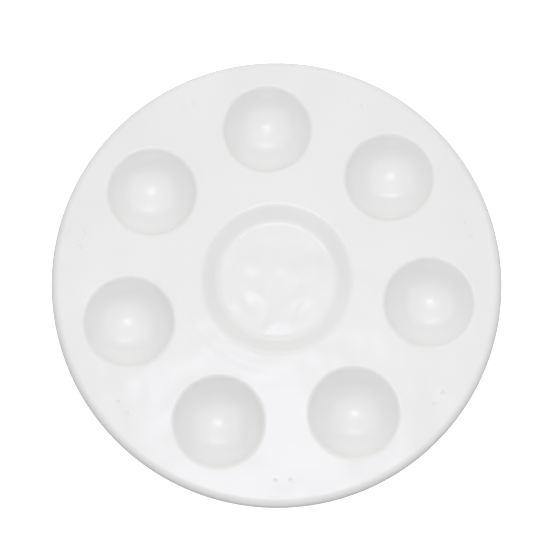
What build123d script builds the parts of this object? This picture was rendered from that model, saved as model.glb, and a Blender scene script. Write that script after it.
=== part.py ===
from build123d import *
import os
from math import asin, atan2, cos, degrees, radians, sin, sqrt, tan

# A round palette for mixing paint, moulded in one piece of white plastic. Seven bowl-shaped paint
# wells stand in a ring about one wide, shallow mixing dish, and the edge turns down into a short rim.
# The moulding is written as its natural regions, which meet face to face on plain cylinders.
#
# Frame: millimetres, +Z up. The origin is on the surface that the palette stands on, at its middle.
# The first paint well lies on +Y.

# Driving sizes
PALETTE_RADIUS = 89.3
WALL = 1.8

WELL_COUNT = 7
WELL_PITCH_RADIUS = 60.7
WELL_RIM_RADIUS = 17.65
WELL_DEPTH = 10.6
WELL_FLOOR_THICKNESS = 1.4
WELL_LIP_ROUND = 2.0
WELL_COLLAR_RADIUS = 20.0

DISH_RIM_RADIUS = 29.8
DISH_FLOOR_RADIUS = 23.6
DISH_DEPTH = 3.5
DISH_LIP_ROUND = 4.5
DISH_FLOOR_ROUND = 6.0
DISH_COLLAR_RADIUS = 33.0

RIM_DEPTH = 7.5
RIM_ROUND = 3.4
RIM_EDGE_ROUND = 0.6
DECK_RADIUS = 85.2

UNDERSIDE_ROUND = 0.8
GATE_MARK_RADIUS = 1.6
GATE_MARK_HEIGHT = 0.4

MARK_RING_RADIUS = 78.8
MARK_RADIUS = 0.95
MARK_DEPTH = 0.25
MARK_SPACING_DEG = 4.24

# Heights worked out from those sizes
DECK_TOP = WELL_FLOOR_THICKNESS + WELL_DEPTH
DECK_UNDERSIDE = DECK_TOP - WALL
WELL_STEP_DEG = 360 / WELL_COUNT
FIRST_WELL_DEG = 90


def polar(radius, angle_deg):
    """The point at this radius and angle about the palette's axis."""
    angle = radians(angle_deg)
    return radius * cos(angle), radius * sin(angle)


def well_places():
    """The centre of each paint well, clockwise from the one on +Y."""
    return [polar(WELL_PITCH_RADIUS, FIRST_WELL_DEG - n * WELL_STEP_DEG) for n in range(WELL_COUNT)]


def mark_places():
    """The small round marks near the edge: one midway between each two wells, one clockwise of it."""
    places = []
    for n in range(WELL_COUNT):
        midway = FIRST_WELL_DEG - (n + 0.5) * WELL_STEP_DEG
        places.append(polar(MARK_RING_RADIUS, midway))
        places.append(polar(MARK_RING_RADIUS, midway - MARK_SPACING_DEG))
    return places


def round_corner(section, corner, radius):
    """The section, drawn as (radius, height), with the corner nearest this point rounded."""
    vertex = section.vertices().sort_by_distance((corner[0], corner[1], 0))[0]
    return fillet(vertex, radius)


def turn(section):
    """The solid that the section sweeps in a full turn about the palette's axis."""
    return revolve(Plane.XZ * section, axis=Axis.Z, revolution_arc=360)


def paint_well():
    """A spherical bowl with a flat under it, a rounded lip and a flat collar that meets the deck."""
    inner_radius = (WELL_RIM_RADIUS**2 + WELL_DEPTH**2) / (2 * WELL_DEPTH)
    outer_radius = inner_radius + WALL
    centre_height = WELL_FLOOR_THICKNESS + inner_radius
    rim_sweep = degrees(asin(WELL_RIM_RADIUS / inner_radius))
    drop_to_underside = centre_height - DECK_UNDERSIDE
    outer_sweep = degrees(atan2(sqrt(outer_radius**2 - drop_to_underside**2), drop_to_underside))
    flat_sweep = degrees(atan2(sqrt(outer_radius**2 - centre_height**2), centre_height))

    inside = CenterArc((0, centre_height), inner_radius, -90, rim_sweep)
    outside = CenterArc((0, centre_height), outer_radius, -90 + flat_sweep, outer_sweep - flat_sweep)
    lip = inside @ 1
    throat = outside @ 1
    collar = Polyline(
        lip,
        (WELL_COLLAR_RADIUS, DECK_TOP),
        (WELL_COLLAR_RADIUS, DECK_UNDERSIDE),
        throat,
    )
    floor = Polyline(outside @ 0, (0, 0), inside @ 0)
    section = make_face([inside, collar, outside, floor])
    section = round_corner(section, (lip.X, lip.Y), WELL_LIP_ROUND)
    section = round_corner(section, (throat.X, throat.Y), UNDERSIDE_ROUND)
    return turn(section)


def mixing_dish():
    """The wide shallow dish in the middle: a sloping side, a flat floor and a rounded lip."""
    slope = atan2(DISH_DEPTH, DISH_RIM_RADIUS - DISH_FLOOR_RADIUS)
    widening = WALL * tan(slope / 2)
    floor_top = DECK_TOP - DISH_DEPTH
    floor_underside = floor_top - WALL
    lip = (DISH_RIM_RADIUS, DECK_TOP)
    floor_edge = (DISH_FLOOR_RADIUS, floor_top)
    underside_edge = (DISH_FLOOR_RADIUS + widening, floor_underside)
    throat = (DISH_RIM_RADIUS + widening, DECK_UNDERSIDE)
    outline = Polyline(
        (0, floor_top),
        floor_edge,
        lip,
        (DISH_COLLAR_RADIUS, DECK_TOP),
        (DISH_COLLAR_RADIUS, DECK_UNDERSIDE),
        throat,
        underside_edge,
        (GATE_MARK_RADIUS, floor_underside),
        (GATE_MARK_RADIUS, floor_underside - GATE_MARK_HEIGHT),
        (0, floor_underside - GATE_MARK_HEIGHT),
        close=True,
    )
    section = make_face(outline)
    section = round_corner(section, lip, DISH_LIP_ROUND)
    section = round_corner(section, floor_edge, DISH_FLOOR_ROUND)
    section = round_corner(section, throat, DISH_LIP_ROUND - WALL)
    section = round_corner(section, underside_edge, DISH_FLOOR_ROUND + WALL)
    return turn(section)


def turned_rim():
    """The rounded shoulder outside the deck, and the short wall that hangs from it."""
    inner_radius = PALETTE_RADIUS - WALL
    foot = DECK_TOP - RIM_DEPTH
    shoulder = (PALETTE_RADIUS, DECK_TOP)
    throat = (inner_radius, DECK_UNDERSIDE)
    outline = Polyline(
        (DECK_RADIUS, DECK_TOP),
        shoulder,
        (PALETTE_RADIUS, foot),
        (inner_radius, foot),
        throat,
        (DECK_RADIUS, DECK_UNDERSIDE),
        close=True,
    )
    section = make_face(outline)
    section = round_corner(section, shoulder, RIM_ROUND)
    section = round_corner(section, throat, RIM_ROUND - WALL)
    section = round_corner(section, (PALETTE_RADIUS, foot), RIM_EDGE_ROUND)
    section = round_corner(section, (inner_radius, foot), RIM_EDGE_ROUND)
    return turn(section)


def deck():
    """The flat plate, with a round hole for the dish and each well, and the small marks in its top."""
    on_underside = (Align.CENTER, Align.CENTER, Align.MIN)
    plate = Pos(0, 0, DECK_UNDERSIDE) * Cylinder(DECK_RADIUS, WALL, align=on_underside)
    plate -= Pos(0, 0, DECK_UNDERSIDE) * Cylinder(DISH_COLLAR_RADIUS, WALL, align=on_underside)
    for x, y in well_places():
        plate -= Pos(x, y, DECK_UNDERSIDE) * Cylinder(WELL_COLLAR_RADIUS, WALL, align=on_underside)
    ball_radius = (MARK_RADIUS**2 + MARK_DEPTH**2) / (2 * MARK_DEPTH)
    for x, y in mark_places():
        plate -= Pos(x, y, DECK_TOP - MARK_DEPTH + ball_radius) * Sphere(ball_radius)
    return plate


os.makedirs("parts", exist_ok=True)
export_step(deck(), "parts/deck.step")
export_step(turned_rim(), "parts/turned_rim.step")
export_step(mixing_dish(), "parts/mixing_dish.step")
for number, (x, y) in enumerate(well_places(), start=1):
    export_step(Pos(x, y, 0) * paint_well(), f"parts/paint_well_{number}.step")
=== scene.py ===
import math

import bmesh
import bpy
import numpy as np
from mathutils import Euler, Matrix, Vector
from mathutils.geometry import delaunay_2d_cdt


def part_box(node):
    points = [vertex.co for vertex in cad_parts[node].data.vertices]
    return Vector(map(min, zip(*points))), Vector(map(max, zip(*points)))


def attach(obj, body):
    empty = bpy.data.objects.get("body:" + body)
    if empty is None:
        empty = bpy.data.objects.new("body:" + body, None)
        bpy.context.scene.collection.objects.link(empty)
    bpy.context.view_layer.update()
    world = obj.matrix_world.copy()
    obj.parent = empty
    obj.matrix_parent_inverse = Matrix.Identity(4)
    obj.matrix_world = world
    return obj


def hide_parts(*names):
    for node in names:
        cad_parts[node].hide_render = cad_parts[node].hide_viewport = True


# A round white mixing palette, moulded in one piece, on a pale floor. Its looks are built round the
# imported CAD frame, in metres. The moulding's surface is made region by region, one piece for each
# CAD node, and neighbouring pieces share the same points along the circle where they meet.

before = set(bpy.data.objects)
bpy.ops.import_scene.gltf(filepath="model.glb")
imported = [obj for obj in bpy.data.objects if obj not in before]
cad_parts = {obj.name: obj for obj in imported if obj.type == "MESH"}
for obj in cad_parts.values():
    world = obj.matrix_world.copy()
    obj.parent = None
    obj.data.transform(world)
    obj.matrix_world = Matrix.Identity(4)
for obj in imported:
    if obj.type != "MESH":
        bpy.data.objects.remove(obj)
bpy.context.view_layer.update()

MM = 0.001

# ---------------------------------------------------------------- sizes from the frame, and rounds

DECK_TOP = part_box("deck")[1].z
DECK_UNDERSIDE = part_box("deck")[0].z
WALL = DECK_TOP - DECK_UNDERSIDE
PALETTE_RADIUS = 89.3 * MM
DECK_RADIUS = 85.2 * MM
RIM_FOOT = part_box("turned_rim")[0].z
RIM_ROUND = 3.4 * MM
RIM_EDGE_ROUND = 0.6 * MM

WELL_NODES = sorted(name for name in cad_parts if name.startswith("paint_well_"))
WELL_RIM_RADIUS = 17.65 * MM
WELL_DEPTH = 10.6 * MM
WELL_FLOOR_TOP = DECK_TOP - WELL_DEPTH
WELL_LIP_ROUND = 2.0 * MM
WELL_COLLAR_RADIUS = 20.0 * MM
UNDERSIDE_ROUND = 0.8 * MM

DISH_RIM_RADIUS = 29.8 * MM
DISH_FLOOR_RADIUS = 23.6 * MM
DISH_DEPTH = 3.5 * MM
DISH_LIP_ROUND = 4.5 * MM
DISH_FLOOR_ROUND = 6.0 * MM
DISH_COLLAR_RADIUS = 33.0 * MM
GATE_MARK_RADIUS = 1.6 * MM
GATE_MARK_HEIGHT = 0.4 * MM

MARK_RING_RADIUS = 78.8 * MM
MARK_RADIUS = 0.95 * MM
MARK_DEPTH = 0.25 * MM
MARK_SPACING = math.radians(4.24)

# Points round each circle, and the spacing of points along a surface
RIM_POINTS = 384
DISH_POINTS = 192
WELL_POINTS = 128
MARK_POINTS = 24
SPACING = 0.7 * MM
DECK_SPACING = 1.0 * MM
# The rings of points in and round each small mark, as shares of its radius
MARK_RINGS = (0.25, 0.5, 0.75, 0.92, 1.0, 1.06, 1.35)


def box_middle(node):
    """The middle of a CAD node's box, as (x, y)."""
    low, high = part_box(node)
    return (low.x + high.x) / 2, (low.y + high.y) / 2


WELL_PLACES = [box_middle(node) for node in WELL_NODES]
WELL_STEP = 2 * math.pi / len(WELL_PLACES)


def mark_places():
    """The small round marks near the edge: one midway between each two wells, one clockwise of it."""
    places = []
    for n in range(len(WELL_PLACES)):
        midway = math.pi / 2 - (n + 0.5) * WELL_STEP
        for angle in (midway, midway - MARK_SPACING):
            places.append((MARK_RING_RADIUS * math.cos(angle), MARK_RING_RADIUS * math.sin(angle)))
    return places


MARK_PLACES = mark_places()


# ---------------------------------------------------------------- the moulding's slight waviness

# Waves over the whole moulding: seed, number, shortest and longest, and slope
DECK_WAVES = (11, 40, 7 * MM, 34 * MM, 0.017)
# Waves in the mixing dish's floor, and how far inside its edge they reach full height
DISH_WAVES = (5, 60, 7 * MM, 20 * MM, 0.055)
DISH_WAVE_FADE = 7.0 * MM
# Ripples in the deck outside the dish and round each well: height, length, and how far they reach
DISH_RIPPLE = (0.065 * MM, 4.5 * MM, 6.0 * MM)
WELL_RIPPLE = (0.006 * MM, 4.5 * MM, 4.0 * MM)
# The side of the dish towards which the plastic flowed last, where its ripples are highest. They
# drift away from the dish over a part of a turn clockwise of it. The narrowing keeps them to that
# side: the larger it is, the sooner they die away round the dish.
FLOW_SIDE = math.radians(208)
FLOW_DRIFT = 7.0 * MM
FLOW_DRIFT_TURN = math.radians(55)
FLOW_NARROWING = 3
# The waves die away below this height, so that the flats under the wells stay flat
CALM_HEIGHT = 3.0 * MM


def make_waves(seed, count, shortest, longest, slope):
    """Radians per metre along x and y, phases and heights of the shallow waves that moulding leaves."""
    random = np.random.default_rng(seed)
    lengths = np.exp(random.uniform(np.log(shortest), np.log(longest), count))
    angles = random.uniform(0, 2 * np.pi, count)
    phases = random.uniform(0, 2 * np.pi, count)
    turns = 2 * np.pi / lengths
    heights = slope / turns * np.sqrt(2 / count)
    return np.stack([turns * np.cos(angles), turns * np.sin(angles), phases, heights])


def wave_height(waves, x, y):
    """The height of all the waves together at each point."""
    across_x, across_y, phases, heights = waves
    return (np.sin(np.outer(x, across_x) + np.outer(y, across_y) + phases) * heights).sum(axis=1)


def ripple_height(ripple, distance):
    """Ripples that start at nothing on an edge and die away outside it."""
    height, length, reach = ripple
    outside = np.maximum(distance, 0)
    start = 1 - np.exp(-((2 * outside / length) ** 2))
    return height * start * np.exp(-outside / reach) * np.sin(2 * np.pi * outside / length)


def smooth_step(value):
    """From 0 to 1 as the value goes from 0 to 1, level at both ends."""
    share = np.clip(value, 0, 1)
    return share * share * (3 - 2 * share)


def lift_at(x, y):
    """How far the moulding's surface is lifted at each point by all its waves and ripples."""
    radius = np.hypot(x, y)
    lift = wave_height(make_waves(*DECK_WAVES), x, y)
    in_dish = smooth_step((DISH_FLOOR_RADIUS - radius) / DISH_WAVE_FADE)
    lift += in_dish * wave_height(make_waves(*DISH_WAVES), x, y)
    angle = np.arctan2(y, x) % (2 * np.pi)
    drift = FLOW_DRIFT * smooth_step((FLOW_SIDE - angle) / FLOW_DRIFT_TURN)
    towards_flow = (0.5 + 0.5 * np.cos(angle - FLOW_SIDE)) ** FLOW_NARROWING
    lift += ripple_height(DISH_RIPPLE, radius - DISH_COLLAR_RADIUS - drift) * towards_flow
    for well_x, well_y in WELL_PLACES:
        lift += ripple_height(WELL_RIPPLE, np.hypot(x - well_x, y - well_y) - WELL_COLLAR_RADIUS)
    return lift


def with_waves(points):
    """The points, lifted by the waves. The flats under the wells stay where they are."""
    lifted = points.copy()
    lifted[:, 2] += lift_at(points[:, 0], points[:, 1]) * smooth_step(points[:, 2] / CALM_HEIGHT)
    return lifted


# ---------------------------------------------------------------- surfaces made of points and faces

class Surface:
    """Points, welded where they coincide, and the faces between them."""

    WELD = 1e-8

    def __init__(self):
        self.numbers = {}
        self.points = []
        self.faces = []

    def point(self, place):
        key = tuple(round(c / self.WELD) for c in place)
        if key not in self.numbers:
            self.numbers[key] = len(self.points)
            self.points.append(place)
        return self.numbers[key]

    def face(self, places):
        corners = list(dict.fromkeys(self.point(place) for place in places))
        if len(corners) > 2:
            self.faces.append(corners)

    def strip(self, ring, next_ring):
        """The faces between two closed rings with the same number of points."""
        for n in range(len(ring)):
            m = (n + 1) % len(ring)
            self.face([ring[n], ring[m], next_ring[m], next_ring[n]])

    def rings(self, profile, centre, count):
        """The surface that a profile of (radius, height) sweeps about an upright axis."""
        rings = [ring_of(radius, height, centre, count) for radius, height in profile]
        for ring, next_ring in zip(rings, rings[1:]):
            self.strip(ring, next_ring)

    def disc(self, radius, height_at, centre, count):
        """A disc of four-sided faces: a square grid drawn out into a circle of count points."""
        cells = count // 4
        steps = range(cells + 1)
        grid = [[disc_point(radius, i, j, cells, count) for j in steps] for i in steps]
        placed = [
            [(centre[0] + x, centre[1] + y, height_at(math.hypot(x, y))) for x, y in row] for row in grid
        ]
        for i in range(cells):
            for j in range(cells):
                self.face([placed[i][j], placed[i + 1][j], placed[i + 1][j + 1], placed[i][j + 1]])


def ring_of(radius, height, centre, count):
    """A circle of points at one height."""
    return [circle_point(radius, n, count, centre) + (height,) for n in range(count)]


def circle_point(radius, n, count, centre=(0.0, 0.0)):
    angle = 2 * math.pi * (n % count) / count
    return centre[0] + radius * math.cos(angle), centre[1] + radius * math.sin(angle)


def disc_point(radius, i, j, cells, count):
    """The corner (i, j) of a square grid of cells, moved so that the square fills a disc."""
    a = 2 * i / cells - 1
    b = 2 * j / cells - 1
    if i in (0, cells) or j in (0, cells):
        return circle_point(radius, border_number(a, b, count), count)
    if abs(a) > abs(b):
        reach, angle = a, math.pi / 4 * b / a
    elif b != 0:
        reach, angle = b, math.pi / 2 - math.pi / 4 * a / b
    else:
        reach, angle = 0.0, 0.0
    return radius * reach * math.cos(angle), radius * reach * math.sin(angle)


def border_number(a, b, count):
    """Which point of the circle the point (a, b) of the square's border becomes."""
    if abs(a) > abs(b):
        angle = math.pi / 4 * b / a + (0 if a > 0 else math.pi)
    else:
        angle = math.pi / 2 - math.pi / 4 * a / b + (0 if b > 0 else math.pi)
    return round(angle / (2 * math.pi) * count) % count


# ---------------------------------------------------------------- profiles, as (radius, height)

# The largest turn between two points of an arc, and how far beside its ends the next points lie
ARC_STEP = math.radians(6)
BESIDE_ARC = 0.06 * MM


def arc_points(centre, radius, start, end):
    """Points of an arc, with angles measured from straight down towards the outside."""
    sweep = abs(end - start)
    steps = max(2, math.ceil(sweep / ARC_STEP), math.ceil(sweep * radius / SPACING))
    angles = [start + (end - start) * n / steps for n in range(steps + 1)]
    return [(centre[0] + radius * math.sin(a), centre[1] - radius * math.cos(a)) for a in angles]


def run_points(start, end, spacing=SPACING):
    """Points inside a straight run, with one close to each end so that shading stays even."""
    length = math.dist(start, end)
    if length < 3 * BESIDE_ARC:
        return []
    steps = max(1, math.ceil(length / spacing))
    shares = [BESIDE_ARC / length, *[n / steps for n in range(1, steps)], 1 - BESIDE_ARC / length]
    return [tuple(s + (e - s) * share for s, e in zip(start, end)) for share in shares]


def rounded_path(corners, spacing=SPACING):
    """Straight runs joined by tangent arcs. Each corner is (radius, height, round)."""
    path = [corners[0][:2]]
    for before, corner, after in zip(corners, corners[1:], corners[2:]):
        arc = corner_arc(Vector(before[:2]), Vector(corner[:2]), Vector(after[:2]), corner[2], spacing)
        path += run_points(path[-1], arc[0], spacing) + arc
    return path + run_points(path[-1], corners[-1][:2], spacing) + [corners[-1][:2]]


def corner_arc(before, corner, after, rounding, spacing):
    """Points of the arc that rounds one corner."""
    back = (before - corner).normalized()
    on = (after - corner).normalized()
    half = back.angle(on) / 2
    middle = corner + (back + on).normalized() * rounding / math.sin(half)
    start = corner + back * rounding / math.tan(half) - middle
    end = corner + on * rounding / math.tan(half) - middle
    sweep = math.pi - 2 * half
    steps = max(2, math.ceil(sweep / ARC_STEP), math.ceil(sweep * rounding / spacing))
    arc = []
    for n in range(steps + 1):
        share = n / steps
        spoke = start * math.sin((1 - share) * sweep) + end * math.sin(share * sweep)
        arc.append(tuple(middle + spoke / math.sin(sweep)))
    return arc


def bowl_profile(sphere_radius, sphere_height, plane, rounding, start):
    """From a start angle up a spherical bowl, over its rounded lip and out along a flat collar."""
    lip_height = plane - rounding
    drop = sphere_height - lip_height
    lip_radius = math.sqrt((sphere_radius + rounding) ** 2 - drop**2)
    tangent = math.atan2(lip_radius, drop)
    bowl = arc_points((0, sphere_height), sphere_radius, start, tangent)
    lip = arc_points((lip_radius, lip_height), rounding, tangent - math.pi, -math.pi)
    collar = (WELL_COLLAR_RADIUS, plane)
    return bowl + lip[1:] + run_points(lip[-1], collar) + [collar]


# ---------------------------------------------------------------- the regions of the moulding

# The middle of each well is a disc of four-sided faces with this radius
WELL_PATCH_RADIUS = 8.0 * MM


def paint_well(centre):
    """A spherical bowl with a flat under it, closed by the wall where it meets the deck."""
    inner = (WELL_RIM_RADIUS**2 + WELL_DEPTH**2) / (2 * WELL_DEPTH)
    outer = inner + WALL
    height = WELL_FLOOR_TOP + inner
    foot_radius = math.sqrt(outer**2 - height**2)
    top = bowl_profile(inner, height, DECK_TOP, WELL_LIP_ROUND, math.asin(WELL_PATCH_RADIUS / inner))
    under = bowl_profile(outer, height, DECK_UNDERSIDE, UNDERSIDE_ROUND, math.asin(foot_radius / outer))
    surface = Surface()
    surface.disc(WELL_PATCH_RADIUS, lambda r: height - math.sqrt(inner**2 - r**2), centre, WELL_POINTS)
    surface.rings(top + under[::-1], centre, WELL_POINTS)
    surface.disc(foot_radius, lambda r: 0.0, centre, WELL_POINTS)
    return surface


def mixing_dish():
    """The wide shallow dish: flat floor, sloping side and rounded lip, with a gate mark under it."""
    slope = math.atan2(DISH_DEPTH, DISH_RIM_RADIUS - DISH_FLOOR_RADIUS)
    widening = WALL * math.tan(slope / 2)
    floor = DECK_TOP - DISH_DEPTH
    below = floor - WALL
    patch = DISH_FLOOR_RADIUS - 2 * DISH_FLOOR_ROUND
    top = [
        (patch, floor, 0),
        (DISH_FLOOR_RADIUS, floor, DISH_FLOOR_ROUND),
        (DISH_RIM_RADIUS, DECK_TOP, DISH_LIP_ROUND),
        (DISH_COLLAR_RADIUS, DECK_TOP, 0),
    ]
    under = [
        (GATE_MARK_RADIUS, below - GATE_MARK_HEIGHT, 0),
        (GATE_MARK_RADIUS, below, GATE_MARK_HEIGHT / 3),
        (DISH_FLOOR_RADIUS + widening, below, DISH_FLOOR_ROUND + WALL),
        (DISH_RIM_RADIUS + widening, DECK_UNDERSIDE, DISH_LIP_ROUND - WALL),
        (DISH_COLLAR_RADIUS, DECK_UNDERSIDE, 0),
    ]
    surface = Surface()
    surface.disc(patch, lambda r: floor, (0, 0), DISH_POINTS)
    surface.rings(rounded_path(top) + rounded_path(under)[::-1], (0, 0), DISH_POINTS)
    surface.disc(GATE_MARK_RADIUS, lambda r: below - GATE_MARK_HEIGHT, (0, 0), DISH_POINTS)
    return surface


def turned_rim():
    """The rounded shoulder outside the deck and the short wall that hangs from it."""
    inside = PALETTE_RADIUS - WALL
    section = [
        (DECK_RADIUS, DECK_TOP, 0),
        (PALETTE_RADIUS, DECK_TOP, RIM_ROUND),
        (PALETTE_RADIUS, RIM_FOOT, RIM_EDGE_ROUND),
        (inside, RIM_FOOT, RIM_EDGE_ROUND),
        (inside, DECK_UNDERSIDE, RIM_ROUND - WALL),
        (DECK_RADIUS, DECK_UNDERSIDE, 0),
    ]
    surface = Surface()
    surface.rings(rounded_path(section) + [(DECK_RADIUS, DECK_TOP)], (0, 0), RIM_POINTS)
    return surface


def mark_depth(x, y):
    """How far the deck's top dips at a point, for the small round marks."""
    ball = (MARK_RADIUS**2 + MARK_DEPTH**2) / (2 * MARK_DEPTH)
    nearest = min(math.hypot(x - mx, y - my) for mx, my in MARK_PLACES)
    if nearest >= MARK_RADIUS:
        return 0.0
    return math.sqrt(ball**2 - nearest**2) - (ball - MARK_DEPTH)


# How far the deck's even grid stays from the middle of a mark and from the deck's edges
MARK_CLEARANCE = 2 * MARK_RADIUS
EDGE_CLEARANCE = 0.6 * DECK_SPACING
# Points of the deck closer together than this are one point
SAME_PLACE = 1e-9


def deck_circles():
    """The circles that bound the deck: (centre, radius, points)."""
    circles = [((0, 0), DECK_RADIUS, RIM_POINTS), ((0, 0), DISH_COLLAR_RADIUS, DISH_POINTS)]
    return circles + [(place, WELL_COLLAR_RADIUS, WELL_POINTS) for place in WELL_PLACES]


def on_deck(x, y, margin=0.0):
    """Whether a point lies on the deck, at least a margin away from each circle that bounds it."""
    (_, outer, _), *holes = deck_circles()
    inside = math.hypot(x, y) < outer - margin
    return inside and all(math.hypot(x - c[0], y - c[1]) > radius + margin for c, radius, _ in holes)


def deck_grid():
    """A grid of even triangles over the deck, clear of its edges and of the small marks."""
    points = []
    row_height = DECK_SPACING * math.sqrt(3) / 2
    rows = math.ceil(DECK_RADIUS / row_height)
    for row in range(-rows, rows + 1):
        for column in range(-rows, rows + 1):
            x = (column + 0.5 * (row % 2)) * DECK_SPACING
            y = row * row_height
            clear = all(math.dist((x, y), mark) > MARK_CLEARANCE for mark in MARK_PLACES)
            if clear and on_deck(x, y, EDGE_CLEARANCE):
                points.append((x, y))
    return points


def deck_layout():
    """Points over the deck and the triangles between them, finer round the small marks."""
    points = []
    edges = []
    for centre, radius, count in deck_circles():
        first = len(points)
        points += [circle_point(radius, n, count, centre) for n in range(count)]
        edges += [(first + n, first + (n + 1) % count) for n in range(count)]
    for centre, radius, count in deck_circles():
        beside = radius + BESIDE_ARC * (-1 if radius == DECK_RADIUS else 1)
        points += [circle_point(beside, n, count, centre) for n in range(count)]
    for mark in MARK_PLACES:
        points.append(mark)
        for share in MARK_RINGS:
            points += [circle_point(MARK_RADIUS * share, n, MARK_POINTS, mark) for n in range(MARK_POINTS)]
    points += deck_grid()
    flat = [Vector(p) for p in points]
    _, _, triangles, given, *_ = delaunay_2d_cdt(flat, edges, [], 0, SAME_PLACE)
    layout = [points[numbers[0]] for numbers in given]
    kept = []
    for triangle in triangles:
        middle = np.mean([layout[n] for n in triangle], axis=0)
        if on_deck(*middle):
            kept.append(triangle)
    return layout, kept


def deck():
    """The flat plate between the wells: its top with the marks, its underside and its edges."""
    layout, triangles = deck_layout()
    surface = Surface()
    top = [(x, y, DECK_TOP - mark_depth(x, y)) for x, y in layout]
    under = [(x, y, DECK_UNDERSIDE) for x, y in layout]
    for triangle in triangles:
        surface.face([top[n] for n in triangle])
        surface.face([under[n] for n in reversed(triangle)])
    for centre, radius, count in deck_circles():
        rims = [ring_of(radius, height, centre, count) for height in (DECK_TOP, DECK_UNDERSIDE)]
        surface.strip(*rims)
    return surface


# ---------------------------------------------------------------- pieces

# Edges sharper than this are shaded as edges
SHARP_ANGLE = math.radians(50)


def add_piece(name, node, surface, material):
    """One visible piece that stands for a CAD node."""
    mesh = bpy.data.meshes.new(name)
    points = with_waves(np.array(surface.points))
    mesh.from_pydata(points.tolist(), [], surface.faces)
    piece = bpy.data.objects.new(name, mesh)
    bpy.context.scene.collection.objects.link(piece)
    face_outwards(mesh)
    mesh.shade_smooth()
    mesh.set_sharp_from_angle(angle=SHARP_ANGLE)
    mesh.materials.append(material)
    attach(piece, "root")
    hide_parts(node)


def face_outwards(mesh):
    """Turns all faces of a closed mesh to face out of it."""
    shape = bmesh.new()
    shape.from_mesh(mesh)
    bmesh.ops.recalc_face_normals(shape, faces=shape.faces)
    open_edges = sum(1 for edge in shape.edges if not edge.is_manifold)
    if open_edges:
        raise ValueError(f"{mesh.name} has {open_edges} open edges")
    shape.to_mesh(mesh)
    shape.free()


# ---------------------------------------------------------------- materials

# The plastic's roughness in the bowls and on the deck, which handling has dulled, each from its
# clearest spots to its haziest. The heights are those between which one goes over into the other.
BOWL_HAZE = (0.17, 0.22)
DECK_HAZE = (0.23, 0.265)
HAZE_HEIGHTS = (DECK_TOP - 8.0 * MM, DECK_TOP - 3.0 * MM)
# The plastic's two whites, its refraction, and the weight and roughness of its clear skin
PLASTIC_WHITES = ((0.908, 0.908, 0.902), (0.932, 0.932, 0.928))
PLASTIC_IOR = 1.59
SKIN = (0.15, 0.10)
# Noise that varies the plastic's white, its haze and its fine ripple: waves per metre, and detail
CLOUD_NOISE = (35, 3)
HAZE_NOISE = (60, 2)
FINE_RIPPLE_NOISE = (180, 2)
# The fine ripple's strength and height
FINE_RIPPLE = (0.25, 0.05 * MM)


def new_material(name):
    """A material with an empty node tree but for its output and one Principled shader."""
    material = bpy.data.materials.new(name)
    material.use_nodes = True
    return material, material.node_tree, material.node_tree.nodes["Principled BSDF"]


def noise(tree, scale, detail):
    """A noise texture laid out in the row frame, in waves per metre."""
    place = tree.nodes.new("ShaderNodeTexCoord")
    texture = tree.nodes.new("ShaderNodeTexNoise")
    texture.inputs["Scale"].default_value = scale
    texture.inputs["Detail"].default_value = detail
    tree.links.new(place.outputs["Object"], texture.inputs["Vector"])
    return texture.outputs["Fac"]


def height_above_floor(tree):
    """Each point's height in the row frame, whose origin is on the floor."""
    place = tree.nodes.new("ShaderNodeTexCoord")
    split = tree.nodes.new("ShaderNodeSeparateXYZ")
    tree.links.new(place.outputs["Object"], split.inputs["Vector"])
    return split.outputs["Z"]


def ramp(tree, value, source, target):
    """A value carried from one range to another, and held at its ends."""
    node = tree.nodes.new("ShaderNodeMapRange")
    node.inputs["From Min"].default_value, node.inputs["From Max"].default_value = source
    node.inputs["To Min"].default_value, node.inputs["To Max"].default_value = target
    tree.links.new(value, node.inputs["Value"])
    return node.outputs["Result"]


def spread(tree, value, low, high):
    """A value of about 0.3 to 0.7, as noise gives, spread from low to high."""
    return ramp(tree, value, (0.3, 0.7), (low, high))


def blend_colours(tree, share, first, second):
    """The first colour where the share is 0, and the second where it is 1."""
    node = tree.nodes.new("ShaderNodeMix")
    node.data_type = "RGBA"
    node.inputs["A"].default_value = (*first, 1)
    node.inputs["B"].default_value = (*second, 1)
    tree.links.new(share, node.inputs["Factor"])
    return node.outputs["Result"]


def white_plastic():
    """Glossy white polystyrene: faint clouding of the colour, handling haze and a fine ripple."""
    material, tree, shader = new_material("glossy_polystyrene")
    clouding = spread(tree, noise(tree, *CLOUD_NOISE), 0, 1)
    tree.links.new(blend_colours(tree, clouding, *PLASTIC_WHITES), shader.inputs["Base Color"])
    haze = spread(tree, noise(tree, *HAZE_NOISE), 0, 1)
    for socket, levels in zip(("To Min", "To Max"), zip(BOWL_HAZE, DECK_HAZE)):
        level = ramp(tree, height_above_floor(tree), HAZE_HEIGHTS, levels)
        tree.links.new(level, haze.node.inputs[socket])
    tree.links.new(haze, shader.inputs["Roughness"])
    ripple = tree.nodes.new("ShaderNodeBump")
    ripple.inputs["Strength"].default_value, ripple.inputs["Distance"].default_value = FINE_RIPPLE
    tree.links.new(noise(tree, *FINE_RIPPLE_NOISE), ripple.inputs["Height"])
    tree.links.new(ripple.outputs["Normal"], shader.inputs["Normal"])
    shader.inputs["IOR"].default_value = PLASTIC_IOR
    shader.inputs["Coat Weight"].default_value, shader.inputs["Coat Roughness"].default_value = SKIN
    return material


# ---------------------------------------------------------------- floor, light and camera

# The radius of the floor's flat middle, the radius and height of the backdrop all round it, the
# round between them, and the spacing of points up it and their number round it
FLOOR_RADIUS = 5.0
BACKDROP_RADIUS = 6.0
BACKDROP_TOP = 6.0
BACKDROP_ROUND = 0.9
BACKDROP_SPACING = 0.2
FLOOR_POINTS = 64
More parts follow.
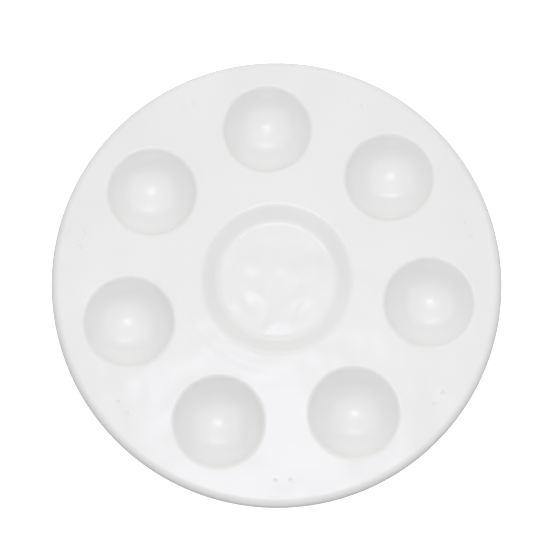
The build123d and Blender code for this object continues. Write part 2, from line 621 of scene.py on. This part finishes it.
# The floor's two whites, the noise that mixes them, its roughness, mirroring and own light
FLOOR_WHITES = ((0.93, 0.93, 0.93), (0.95, 0.95, 0.95))
FLOOR_NOISE = (3, 2)
FLOOR_ROUGHNESS = 0.9
FLOOR_SPECULAR = 0.1
FLOOR_GLOW = 0.8


def add_floor():
    """A plain pale floor that curves up into a backdrop. It sends no light back to the palette."""
    material, tree, shader = new_material("floor_white")
    tint = spread(tree, noise(tree, *FLOOR_NOISE), 0, 1)
    tree.links.new(blend_colours(tree, tint, *FLOOR_WHITES), shader.inputs["Base Color"])
    shader.inputs["Roughness"].default_value = FLOOR_ROUGHNESS
    shader.inputs["Specular IOR Level"].default_value = FLOOR_SPECULAR
    shader.inputs["Emission Color"].default_value = (1, 1, 1, 1)
    shader.inputs["Emission Strength"].default_value = FLOOR_GLOW
    surface = Surface()
    surface.face([circle_point(FLOOR_RADIUS, n, FLOOR_POINTS) + (0.0,) for n in range(FLOOR_POINTS)])
    corners = [
        (FLOOR_RADIUS, 0, 0),
        (BACKDROP_RADIUS, 0, BACKDROP_ROUND),
        (BACKDROP_RADIUS, BACKDROP_TOP, 0),
    ]
    cove = rounded_path(corners, BACKDROP_SPACING)
    surface.rings(cove[::-1], (0, 0), FLOOR_POINTS)
    mesh = bpy.data.meshes.new("floor")
    mesh.from_pydata(surface.points, [], surface.faces)
    mesh.shade_smooth()
    mesh.materials.append(material)
    floor = bpy.data.objects.new("floor", mesh)
    bpy.context.scene.collection.objects.link(floor)
    for ray in ("diffuse", "glossy", "shadow"):
        setattr(floor, f"visible_{ray}", False)


# Each light's middle, width and length in palette radii, the place it faces, radiance and colour.
# Places are as the camera sees them: x to the right, y up the picture, z above the deck.
LIGHTS = {
    "ceiling": ((0.0, 0.5, 4.0), (10.0, 9.0), (0.0, 0.5, 0.0), 0.50, (0.94, 0.93, 1.0)),
    "lamp": ((-0.06, -0.40, 12.0), (2.90, 2.20), (0.0, 0.0, 0.0), 3.7, (0.80, 0.83, 1.0)),
    "lamp_glow": ((-0.10, 0.20, 11.9), (7.0, 6.5), (0.0, 0.0, 0.0), 0.45, (0.93, 0.94, 1.0)),
    "window": ((0.2, 6.6, 7.5), (5.4, 1.3), (0.0, 0.0, 0.0), 1.8, (1.0, 0.98, 0.85)),
    "low_far": ((0.0, 11.7, 2.5), (9.0, 1.5), (0.0, 0.0, 0.0), 1.3, (1.0, 0.95, 0.80)),
    "low_near": ((0.0, -12.0, 1.3), (4.5, 1.4), (0.0, 0.0, 0.0), 3.0, (1.0, 1.0, 1.0)),
}


def add_light(name, place, size, target, radiance, colour):
    """A soft rectangular light that faces a place and gives off the same radiance all over."""
    data = bpy.data.lights.new(name, "AREA")
    data.shape = "RECTANGLE"
    data.size, data.size_y = (side * PALETTE_RADIUS for side in size)
    data.energy = math.pi * data.size * data.size_y * radiance
    data.color = colour
    light = bpy.data.objects.new(name, data)
    light.location = photo_place(*place)
    aim = photo_place(*target) - light.location
    light.rotation_euler = aim.to_track_quat("-Z", "Y").to_euler()
    light.visible_camera = False
    bpy.context.scene.collection.objects.link(light)


# The studio's radiance above and below the horizon, each at its -Y side and at its +Y side. The
# horizon is the range of upward direction over which one goes over into the other.
SKY = (0.435, 0.485)
GROUND = (0.12, 0.80)
HORIZON = (-0.1, 0.2)
STUDIO_COLOUR = (1.0, 1.0, 0.95)


def set_world():
    """A plain white studio, darker towards -Y, above all below the horizon."""
    world = bpy.data.worlds.new("studio")
    bpy.context.scene.world = world
    world.use_nodes = True
    tree = world.node_tree
    place = tree.nodes.new("ShaderNodeTexCoord")
    split = tree.nodes.new("ShaderNodeSeparateXYZ")
    tree.links.new(place.outputs["Generated"], split.inputs["Vector"])
    sky = ramp(tree, split.outputs["Y"], (-1, 1), SKY)
    ground = ramp(tree, split.outputs["Y"], (-1, 1), GROUND)
    strength = ramp(tree, split.outputs["Z"], HORIZON, (0, 1))
    tree.links.new(ground, strength.node.inputs["To Min"])
    tree.links.new(sky, strength.node.inputs["To Max"])
    background = tree.nodes["Background"]
    background.inputs["Color"].default_value = (*STUDIO_COLOUR, 1)
    tree.links.new(strength, background.inputs["Strength"])


# The camera's lens in millimetres, the turns from straight down, and its place from the middle of
# the deck's top in its own directions, in palette radii
LENS = 88.6
VIEW_TILT = math.radians(9.195)
VIEW_ROLL = math.radians(-0.723)
VIEW_TURN = math.radians(-3.654)
VIEW_OFFSET = (-0.0093, 0.0153, 5.98)


def add_camera():
    """Almost straight overhead, from six palette radii away and a little to the -Y side."""
    data = bpy.data.cameras.new("camera")
    data.lens = LENS
    camera = bpy.data.objects.new("camera", data)
    camera.rotation_mode = "YXZ"
    camera.rotation_euler = Euler((VIEW_TILT, VIEW_ROLL, VIEW_TURN), "YXZ")
    turn = camera.rotation_euler.to_matrix()
    camera.location = Vector((0, 0, DECK_TOP)) + turn @ Vector(VIEW_OFFSET) * PALETTE_RADIUS
    bpy.context.scene.collection.objects.link(camera)
    bpy.context.scene.camera = camera


def photo_place(x, y, z):
    """A place given in palette radii, with x to the camera's right and y up its picture."""
    turn = Euler((0, 0, VIEW_TURN)).to_matrix()
    return Vector((0, 0, DECK_TOP)) + turn @ Vector((x, y, z)) * PALETTE_RADIUS


def build():
    """The whole scene: the palette's ten pieces, the floor, the studio, its lights and the camera."""
    plastic = white_plastic()
    add_piece("deck_plate", "deck", deck(), plastic)
    add_piece("rim_band", "turned_rim", turned_rim(), plastic)
    add_piece("dish_bowl", "mixing_dish", mixing_dish(), plastic)
    for number, (node, place) in enumerate(zip(WELL_NODES, WELL_PLACES), start=1):
        add_piece(f"well_bowl_{number}", node, paint_well(place), plastic)
    add_floor()
    set_world()
    for name, settings in LIGHTS.items():
        add_light(name, *settings)
    add_camera()
    bpy.context.scene.view_settings.view_transform = "Standard"


build()
